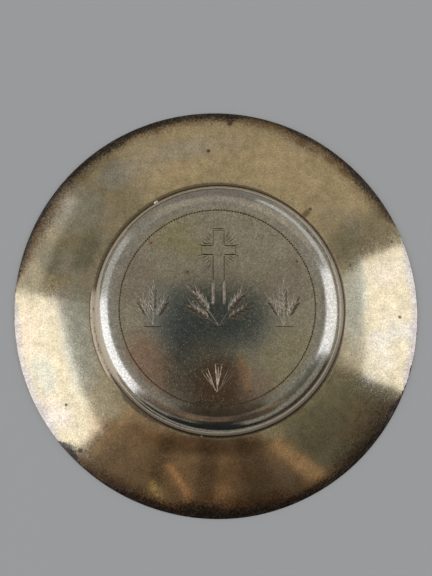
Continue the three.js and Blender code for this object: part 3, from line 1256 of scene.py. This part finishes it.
# %% Worn gilding
well = Finish("worn_silver_gilt", WORN_GILT, 0.15)
well.coat(PLUM_TARNISH, well.step(well.noise(8), 0.45, 0.75), 0.5)
well.coat(OLIVE_GILT, well.step(well.noise(7, well.ragged), 0.5, 0.8), 0.5)
well.patches((
    (OLIVE_GILT, 0.8, -16, 26, 9, 5, 25),
    (OLIVE_GILT, 0.8, -9.8, 21.8, 7, 4),
    (OLIVE_GILT, 0.6, 26, -20, 11, 12, 30),
    (PLUM_TARNISH, 0.6, -29, 10, 8, 10, 20),
    (PLUM_TARNISH, 0.5, 24, 9, 9, 7),
    # Large reddish patches on the lower disc: tarnish, and partly painted reflection of the warm brown
    # surroundings in front.
    (REDDISH_TARNISH_AND_REFLECTION, 0.9, -25, -21, 11, 11, 30),
    (REDDISH_TARNISH_AND_REFLECTION, 0.7, 4, -27, 15, 7),
    # Bluish patches in the middle of the disc: tarnish, and partly painted reflection of the dark camera
    # overhead.
    (BLUE_TARNISH_AND_REFLECTION, 0.75, -16, -4, 8, 12, 15),
    (BLUE_TARNISH_AND_REFLECTION, 0.6, 4, -6, 16, 9),
    # Orange streaks are painted reflection of orange surroundings in front.
    (PAINTED_ORANGE_REFLECTION, 0.8, 10, -23, 1.8, 6, 15),
    (PAINTED_ORANGE_REFLECTION, 0.7, 11.8, -34.7, 2.2, 1.4, -10),
))
disc_edge = disc_radius / MM
on_shoulder = well.step(well.radius, disc_edge - 2.1, disc_edge - 0.7)
well.coat(PALE_SHOULDER, on_shoulder, 0.85)
for colour, x, y, half_x, half_y in ((GREY_SHOULDER, 0, 41, 26, 4), (WARM_SHOULDER, 41, 2, 4, 20)):
    well.coat(colour, well.times(on_shoulder, well.patch(x, y, half_x, half_y)), 0.8)

# %% Spots and brushing of the well
for x, y, size in ((-23.6, 22.4, 0.45), (-10.7, 12.1, 0.55), (28.1, 16.0, 0.5), (11.2, -29.4, 0.35)):
    well.coat(REDDISH_TARNISH_AND_REFLECTION, well.patch(x, y, 2.4 * size, 2.4 * size), 0.6)
    well.coat(SPECK_COLOUR, well.patch(x, y, size, size), 0.8, 0.3)
sparse = well.step(well.noise(10), 0.5, 0.7)
well.coat(SPECK_COLOUR, well.specks(2.6, 0.4, sparse), 0.5, 0.2)
well.mottle(well.noise(2.5, detail=4.0), 0.22)
well.mottle(well.noise(0.5), 0.75)
well.mottle(well.streaks(0.4, 12, 0), 0.06)
well.scratches(((4, 9), (-24, 12), (40, 7), (-58, 10), (82, 6)), 0.12, 0.22)
scuffs = well.step(well.noise(0.4, detail=3.0), 0.45, 0.75)
well.scuff(well.times(scuffs, well.minus(1.0, on_shoulder)), 0.13)
well.coat(SPECK_COLOUR, well.specks(1.9, 0.35), 0.4)

# %% Grime in the cuts
CUT_DEPTHS = (0.003, 0.02)  # in millimetres: where a cut starts to count, and where it counts in full
DEEP_CUT_DEPTHS = (0.05, 0.12)
CUTS_END = 36.3  # no mark lies farther from the axis

depth = well.minus(disc_height / MM, well.height)
on_disc = well.step(well.radius, CUTS_END + 0.3, CUTS_END)
in_cut = well.times(well.step(depth, *CUT_DEPTHS), on_disc)
well.coat(FRESH_CUT, in_cut, 0.8)
patchy = well.step(well.noise(0.5, detail=3.0), 0.2, 0.5)
well.coat(GRIME, well.times(in_cut, patchy), 0.8, 0.25)
on_cross = well.patch(CROSS_X, 19, 9, 9.5, soft=0.1)
well.coat(GRIME, well.times(in_cut, on_cross), 0.85)
on_ring = well.step(well.radius, RING_RADIUS - 1.2, RING_RADIUS - 0.8)
deep = well.times(well.step(depth, *DEEP_CUT_DEPTHS), on_disc)
well.coat(GRIME, well.times(deep, on_ring), 0.85)

# %% Painted shade and painted reflection at the foot
CREAM_LINE = 43.95  # radius of the painted cream line, in millimetres from the middle of the foot
CREAM_REACH = (
    (-180, 2.0), (-150, 1.9), (-138, 0.3), (-120, 0.1), (-20, 0.1), (0, 0.8), (30, 0.3), (120, 0.2),
    (165, 0.8), (180, 2.0),
)
CREAM_SHARE = (
    (-180, 1.0), (-150, 1.0), (-140, 0.1), (-120, 0.05), (-25, 0.1), (-8, 0.5), (20, 0.5), (40, 0.4),
    (90, 0.35), (150, 0.4), (168, 0.6), (180, 1.0),
)

foot_radius = well.plus(well.foot_distance(0.65), well.times(well.noise(1.0), 0.5))
# A dark matt band at the foot of the wall is painted shade in the crease.
well.paint_matt(FOOT_SHADE, well.step(foot_radius, 43.6, 44.3), 0.8)
# A cream line, and a wider cream band that is widest on the left, are painted reflection: the wall mirrors
# the rim and the table.
from_line = well.maths("ABSOLUTE", well.minus(foot_radius, CREAM_LINE))
well.coat(CREAM_REFLECTION, well.step(from_line, 0.5, 0.2), 0.75)
thick = well.step(well.plus(foot_radius, well.around(CREAM_REACH)), 43.9, 44.3)
well.paint_matt(CREAM_REFLECTION, well.times(thick, well.around(CREAM_SHARE)), 0.8)
for azimuth, r, length in ((33, 42.4, 9), (26, 43.6, 5)):
    well.coat(SEAM_BROWN_AND_SHADE, well.patch(*polar(azimuth, r), 0.25, length, azimuth), 0.5)
well.mottle(well.noise(0.8, detail=4.0), 0.35)

# %% Inside and relief of the well
well.cover(GILT, well.step(well.up, 0.1, -0.1))
well.raise_by(well.noise(16), 0.03)
well.raise_by(well.streaks(0.4, 12, 0), 0.0008)
well.raise_by(well.noise(0.6), 0.0006)
well.dress(well_dish)

# %% [markdown]
# ## Old solder
# Solder holds more copper than the sheet does, so it turns brown and black in the corner. Rubbing
# brightens only the drops that stand proud of it.

# %% Old solder
OLD_SOLDER = (0.07, 0.045, 0.028)
RUBBED_SOLDER = (0.50, 0.41, 0.27)
BRIGHT_DROP = (0.95, 0.87, 0.70)

solder = Finish("old_solder", OLD_SOLDER, 0.38)
for azimuth, away, length, width in DROPS:
    place = Vector(polar(azimuth, boss_radius / MM + away)) + FOOT_SHIFT.xy / MM
    solder.coat(BRIGHT_DROP, solder.patch(*place, width / 2, length / 2, azimuth, 0.3), 0.9, -0.1)
solder.coat(RUBBED_SOLDER, solder.step(solder.noise(1.6), 0.62, 0.8), 0.3)
solder.mottle(solder.noise(0.6), 0.5)
# Painted cream reflection on the left, in patches, as on the wall and the rim beside it.
patchy = solder.step(solder.noise(0.9), 0.3, 0.55)
solder.paint_matt(CREAM_REFLECTION, solder.times(solder.around(CREAM_LEFT), patchy), 0.8)
solder.raise_by(solder.noise(0.5), 0.02)
solder.dress(solder_seam)

# %% Place in the frame
for piece, node, slot in (
    (rim_plate, "rim_plate", "gilt_rim"),
    (well_dish, "well_dish", "worn_gilt_well"),
    (solder_seam, "solder_seam", "tarnished_solder"),
):
    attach(piece, "root")
    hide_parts(node)
